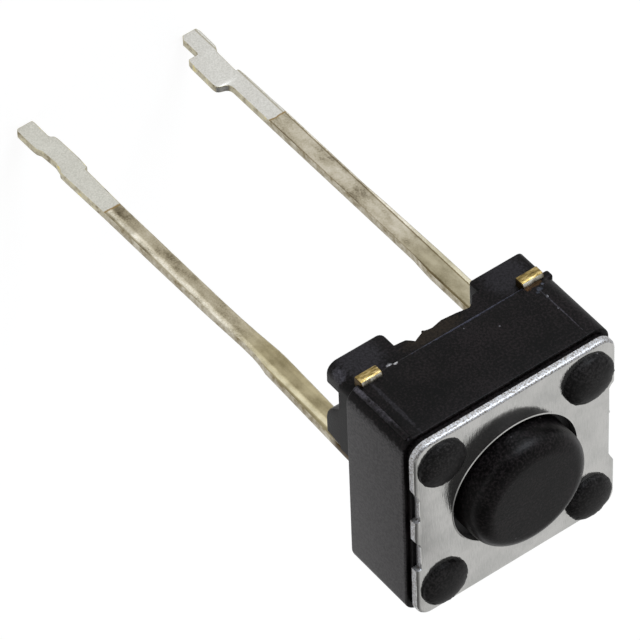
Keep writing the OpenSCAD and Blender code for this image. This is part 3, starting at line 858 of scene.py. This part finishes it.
def makeTerminal(name, side, size):
    middle, half = side * size["leadX"], size["root"] / 2
    low, high = size["stripBottom"], size["stripTop"]
    if side > 0:
        low, high = low - size["rightDrop"], high - size["rightDrop"]
    terminal = addBlock(name, (middle - half, size["back"], low),
                        (middle + half, size["face"], high))
    drawRows(terminal, (low, middle - half, middle + half),
             size["leftRows" if side < 0 else "rightRows"])
    drawStrip(terminal, side, size)
    shapeTab(terminal, size, low, high)
    for number in range(3):  # places for the plating, the sheared sides and the cut ends
        terminal.data.materials.append(None)
    softenEdges(terminal, size["rounding"], 3, 50, 1)
    return terminal


# hidden parts in the cavity: ring under the dome's rim and pad under its middle.
# A bridge or an arm, a little thinner, joins each to its strip.
contactSizes = {
    "ringOuter": 2.12, "ringInner": 1.45, "gapHalf": 0.7, "gapEnd": 3, "bridgeX": (-2.6, -1.95),
    "bridgeY": (0.25, 0.95), "padRadius": 0.65, "padEdge": 0.05, "armEnd": 2.75,
    "armHalf": 0.25, "armThickness": 0.12, "thinner": 0.01,
}


def addLeftContact(terminal, size, low, high):
    ring = addRound("ring", size["ringOuter"], low, high)
    combine(ring, addRound("ring hole", size["ringInner"], low - 1, high + 1), "DIFFERENCE")
    gap = addBlock("ring gap", (0, -size["gapHalf"], low - 1),
                   (size["gapEnd"], size["gapHalf"], high + 1))
    combine(ring, gap, "DIFFERENCE")
    (left, right), (back, front) = size["bridgeX"], size["bridgeY"]
    bridge = addBlock("bridge", (left, back, low + size["thinner"]),
                      (right, front, high - size["thinner"]))
    combine(ring, bridge, "UNION")
    combine(terminal, ring, "UNION")


def addRightContact(terminal, size, low, high):
    pad = addRound("pad", size["padRadius"], low, high)
    roundEdges(pad, liesAt(high), size["padEdge"], 3)
    bottom = low + size["thinner"]
    arm = addBlock("arm", (0, -size["armHalf"], bottom),
                   (size["armEnd"], size["armHalf"], bottom + size["armThickness"]))
    combine(pad, arm, "UNION")
    combine(terminal, pad, "UNION")


leftTerminal = makeTerminal("terminal_left", -1, leadSizes)
addLeftContact(leftTerminal, contactSizes, leadSizes["stripBottom"], leadSizes["stripTop"])
rightTerminal = makeTerminal("terminal_right", 1, leadSizes)
addRightContact(rightTerminal, contactSizes, leadSizes["stripBottom"], leadSizes["stripTop"])

for terminal, node, plated in ((leftTerminal, "left_terminal", leftPlated),
                               (rightTerminal, "right_terminal", rightPlated)):
    finishPiece(terminal, "housing", [plated, sideBrass, cutBrass], node)
    paintFaces(terminal, 1, lambda f: abs(f.normal.x) > 0.8)
    paintFaces(terminal, 2, lambda f: f.normal.y > 0.85
               and f.calc_center_median().y > leadSizes["cutFrom"] / 1000)

# contact dome: thin sprung disc under the button's nub, which flattens when the button is
# pressed; it is drawn at rest
domeSizes = {"radius": 1.95, "floor": 1.12, "height": 0.4, "thickness": 0.06, "rings": 8,
             "pressed": 0.37}


def makeDome(size):
    rim, floor = size["radius"], size["floor"]
    dome = addRound("snap_dome", rim, floor, floor + size["thickness"], sides=64)
    for way in (1, -1):  # upper and lower face, both drawn in ring by ring on one curve
        choose(dome, "FACE", lambda f: f.normal.z * way > 0.9)
        before = rim
        for ring in range(size["rings"]):
            now = rim * (size["rings"] - ring) / (size["rings"] + 1)
            rise = (size["height"] - size["thickness"]) * (before ** 2 - now ** 2) / rim ** 2
            bpy.ops.mesh.extrude_region_move(TRANSFORM_OT_translate={"value": (0, 0, rise)})
            bpy.ops.transform.resize(value=(now / before, now / before, 1),
                                     center_override=(0, 0, 0))
            before = now
        leaveEdit()
    return dome


dome = finishPiece(makeDome(domeSizes), "housing", [spring], "contact_dome")
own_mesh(dome)

# pale floor just under the lead tips
floorSizes = {"reach": 1500, "height": -12.77}
reach, height = floorSizes["reach"], floorSizes["height"]
floor = addBlock("floor", (-reach, -reach, height - 1), (reach, reach, height))
toMetres(floor)
# matt white paper: pale in the light that it throws on the object, nearly white with a
# soft shadow where the camera or a glossy face looks at it
paper = bpy.data.materials.new("white paper")
paper.use_nodes = True
tree = paper.node_tree
tree.nodes.clear()
rays = addNode(paper, "ShaderNodeLightPath")
matt = addNode(paper, "ShaderNodeBsdfDiffuse", {"Color": toLinear("#e6e6e6")})
soft = addNode(paper, "ShaderNodeBsdfDiffuse", {"Color": toLinear("#8a8a8a")})
glow = addNode(paper, "ShaderNodeEmission", {"Color": (1, 1, 1, 1), "Strength": 0.85})
lit = addNode(paper, "ShaderNodeAddShader", {}, {0: (soft, "BSDF"), 1: (glow, "Emission")})
seen = addNode(paper, "ShaderNodeMath", {"operation": "MAXIMUM"},
               {0: (rays, "Is Camera Ray"), 1: (rays, "Is Glossy Ray")})
both = addNode(paper, "ShaderNodeMixShader", {},
               {0: (seen, "Value"), 1: (matt, "BSDF"), 2: (lit, "Shader")})
addNode(paper, "ShaderNodeOutputMaterial", {}, {"Surface": (both, "Shader")})
floor.data.materials.append(paper)

# soft studio light: a pale tent that darkens towards the camera and towards the rear
# left, and two soft boxes
lightSizes = {
    "dark": (-0.39, 0.74, 0.55), "shade": (-0.53, -0.74, 0.37),
    "tent": [(0.0, 0.8), (0.55, 0.78), (0.86, 0.3), (0.97, 0.12)],
    # soft boxes: name, direction, distance, side and power, and tint; all face the target
    "boxes": [("key", (0.3, 0.92, 0.15), 0.4, 0.19, 1.2, (0.86, 0.92, 1)),
              ("side", (-0.8, 0.45, -0.02), 0.3, 0.05, 0.05, (1, 1, 1))],
    "target": (0, 0, 0.002),
}
world = bpy.data.worlds.new("studio")
scene.world = world
world.use_nodes = True
sky = world.node_tree.nodes["Background"]
way = addNode(world, "ShaderNodeTexCoord")
facing = addNode(world, "ShaderNodeVectorMath",
                 {"operation": "DOT_PRODUCT", 1: lightSizes["dark"]}, {0: (way, "Generated")})
behind = addNode(world, "ShaderNodeVectorMath",
                 {"operation": "DOT_PRODUCT", 1: lightSizes["shade"]}, {0: (way, "Generated")})
nearest = addNode(world, "ShaderNodeMath", {"operation": "MAXIMUM"},
                  {0: (facing, "Value"), 1: (behind, "Value")})
tent = setRamp(addNode(world, "ShaderNodeValToRGB", {}, {"Fac": (nearest, "Value")}),
               lightSizes["tent"])
link(world, tent, "Color", sky, "Color")

for name, direction, distance, side, power, tint in lightSizes["boxes"]:
    lamp = bpy.data.lights.new(name, "AREA")
    lamp.size, lamp.energy, lamp.color = side, power, tint
    box = bpy.data.objects.new(name, lamp)
    scene.collection.objects.link(box)
    away = Vector(direction).normalized()
    box.location = Vector(lightSizes["target"]) + away * distance
    box.rotation_mode = "QUATERNION"
    box.rotation_quaternion = away.to_track_quat("Z", "Y")

# camera fitted to the object's corners in the photograph; its place is in metres
cameraSizes = {
    "sensor": 36, "lens": 335.9, "clip": (0.01, 10), "place": (-0.05566, 0.104583, 0.074558),
    "right": (0.79806, -0.02787, 0.60193), "up": (0.46006, 0.67331, -0.57879),
    "back": (-0.38915, 0.73883, 0.55017),
}
camera = bpy.data.objects.new("camera", bpy.data.cameras.new("camera"))
scene.collection.objects.link(camera)
camera.data.sensor_width, camera.data.lens = cameraSizes["sensor"], cameraSizes["lens"]
camera.data.clip_start, camera.data.clip_end = cameraSizes["clip"]
axes = [cameraSizes[name] for name in ("right", "up", "back")]
place = Matrix(axes).transposed().to_4x4()
place.translation = Vector(cameraSizes["place"])
camera.matrix_world = place
scene.camera = camera
scene.view_settings.view_transform = "Standard"
print("floor, light and camera set")
